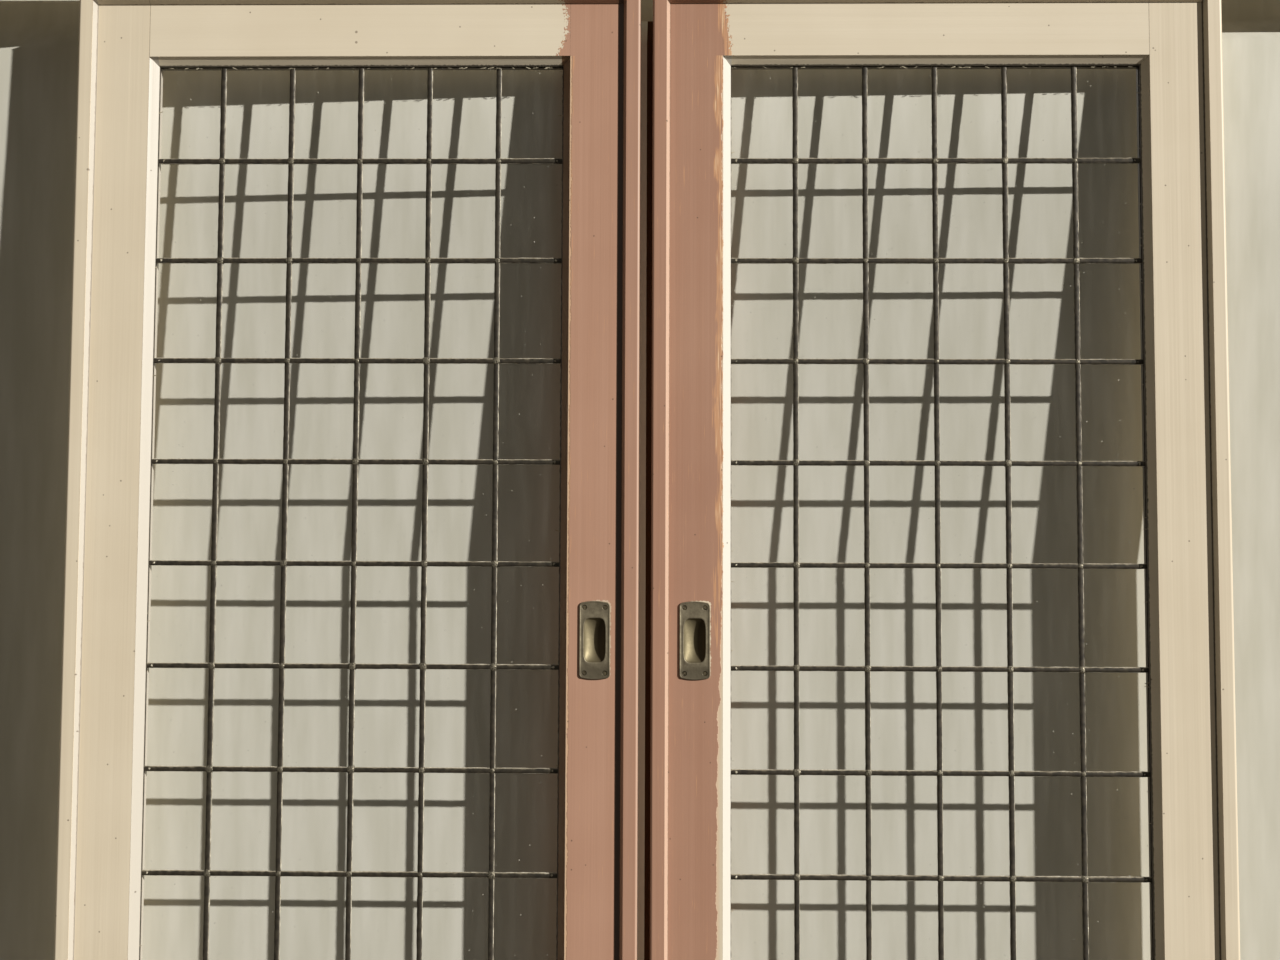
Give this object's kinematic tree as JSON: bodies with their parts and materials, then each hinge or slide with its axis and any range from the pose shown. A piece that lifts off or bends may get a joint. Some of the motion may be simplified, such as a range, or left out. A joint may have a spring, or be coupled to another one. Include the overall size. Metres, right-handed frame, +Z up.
{
  "type": "leaded glass sliding doors",
  "caption": "Leaded clear-glass sliding doors that part in the middle, running on grooved wheels in a timber frame with an open pocket at each side.",
  "frame": {"origin": "on the floor, under the middle of the gap between the two leaves", "axes": "+X across the doorway to the right leaf, the front of the doors looks along -Y, +Z up"},
  "size_m": [3.5144, 0.12, 2.192],
  "materials": {
    "cream_paint": "brushed gloss paint, weathered",
    "brown_paint": "brushed matt paint",
    "frame_timber": "painted timber",
    "lead": "dull grey lead",
    "clear_glass": "old clear sheet",
    "aged_bronze": "aged, worn bright where touched",
    "steel": "plain steel",
    "brass": "drawn brass",
    "rubber": "black rubber"
  },
  "bodies": {
    "frame": {"sole_board": "frame_timber", "floor_rail": "brass", "head_board": "frame_timber", "front_guide_lath": "frame_timber", "back_guide_lath": "frame_timber", "left_post": "frame_timber", "right_post": "frame_timber", "left_end_buffer": "rubber", "right_end_buffer": "rubber", "frame_screws": "steel"},
    "left_door": {"left_meeting_stile": "brown_paint", "left_outer_stile": "cream_paint", "left_top_rail": "cream_paint", "left_bottom_rail": "cream_paint", "left_meeting_rim": "brown_paint", "left_outer_rim": "cream_paint", "left_top_rim": "cream_paint", "left_bottom_rim": "cream_paint", "left_meeting_bead": "brown_paint", "left_outer_bead": "cream_paint", "left_top_bead": "cream_paint", "left_bottom_bead": "cream_paint", "left_lead_cames": "lead", "left_glass_panes": "clear_glass", "left_flush_pull": "aged_bronze", "left_pull_screws": "aged_bronze", "left_meeting_axle": "steel", "left_outer_axle": "steel", "left_meeting_wheel_case": "steel", "left_outer_wheel_case": "steel", "left_case_screws": "steel", "left_meeting_guide_pin": "brass", "left_outer_guide_pin": "brass"},
    "left_meeting_wheel": {"left_meeting_wheel": "brass"},
    "left_outer_wheel": {"left_outer_wheel": "brass"},
    "right_door": {"right_meeting_stile": "brown_paint", "right_outer_stile": "cream_paint", "right_top_rail": "cream_paint", "right_bottom_rail": "cream_paint", "right_meeting_rim": "brown_paint", "right_outer_rim": "cream_paint", "right_top_rim": "cream_paint", "right_bottom_rim": "cream_paint", "right_meeting_bead": "brown_paint", "right_outer_bead": "cream_paint", "right_top_bead": "cream_paint", "right_bottom_bead": "cream_paint", "right_lead_cames": "lead", "right_glass_panes": "clear_glass", "right_flush_pull": "aged_bronze", "right_pull_screws": "aged_bronze", "right_meeting_axle": "steel", "right_outer_axle": "steel", "right_meeting_wheel_case": "steel", "right_outer_wheel_case": "steel", "right_case_screws": "steel", "right_meeting_guide_pin": "brass", "right_outer_guide_pin": "brass"},
    "right_meeting_wheel": {"right_meeting_wheel": "brass"},
    "right_outer_wheel": {"right_outer_wheel": "brass"}
  },
  "joints": [
    {"name": "left_slide", "type": "slide", "parent": "frame", "child": "left_door", "axis": [1, 0, 0], "range_m": [-0.79, 0.0098]},
    {"name": "left_meeting_wheel_spin", "type": "hinge", "parent": "left_door", "child": "left_meeting_wheel", "pos_m": [-0.19, 0, 0.0463], "axis": [0, 1, 0], "continuous": true},
    {"name": "left_outer_wheel_spin", "type": "hinge", "parent": "left_door", "child": "left_outer_wheel", "pos_m": [-0.73, 0, 0.0463], "axis": [0, 1, 0], "continuous": true},
    {"name": "right_slide", "type": "slide", "parent": "frame", "child": "right_door", "axis": [1, 0, 0], "range_m": [-0.0098, 0.79]},
    {"name": "right_meeting_wheel_spin", "type": "hinge", "parent": "right_door", "child": "right_meeting_wheel", "pos_m": [0.19, 0, 0.0463], "axis": [0, 1, 0], "continuous": true},
    {"name": "right_outer_wheel_spin", "type": "hinge", "parent": "right_door", "child": "right_outer_wheel", "pos_m": [0.73, 0, 0.0463], "axis": [0, 1, 0], "continuous": true}
  ],
  "couplings": [
    {"joint": "left_meeting_wheel_spin", "follows": "left_slide", "rad_per_m": 50},
    {"joint": "left_outer_wheel_spin", "follows": "left_slide", "rad_per_m": 50},
    {"joint": "right_meeting_wheel_spin", "follows": "right_slide", "rad_per_m": 50},
    {"joint": "right_outer_wheel_spin", "follows": "right_slide", "rad_per_m": 50}
  ]
}
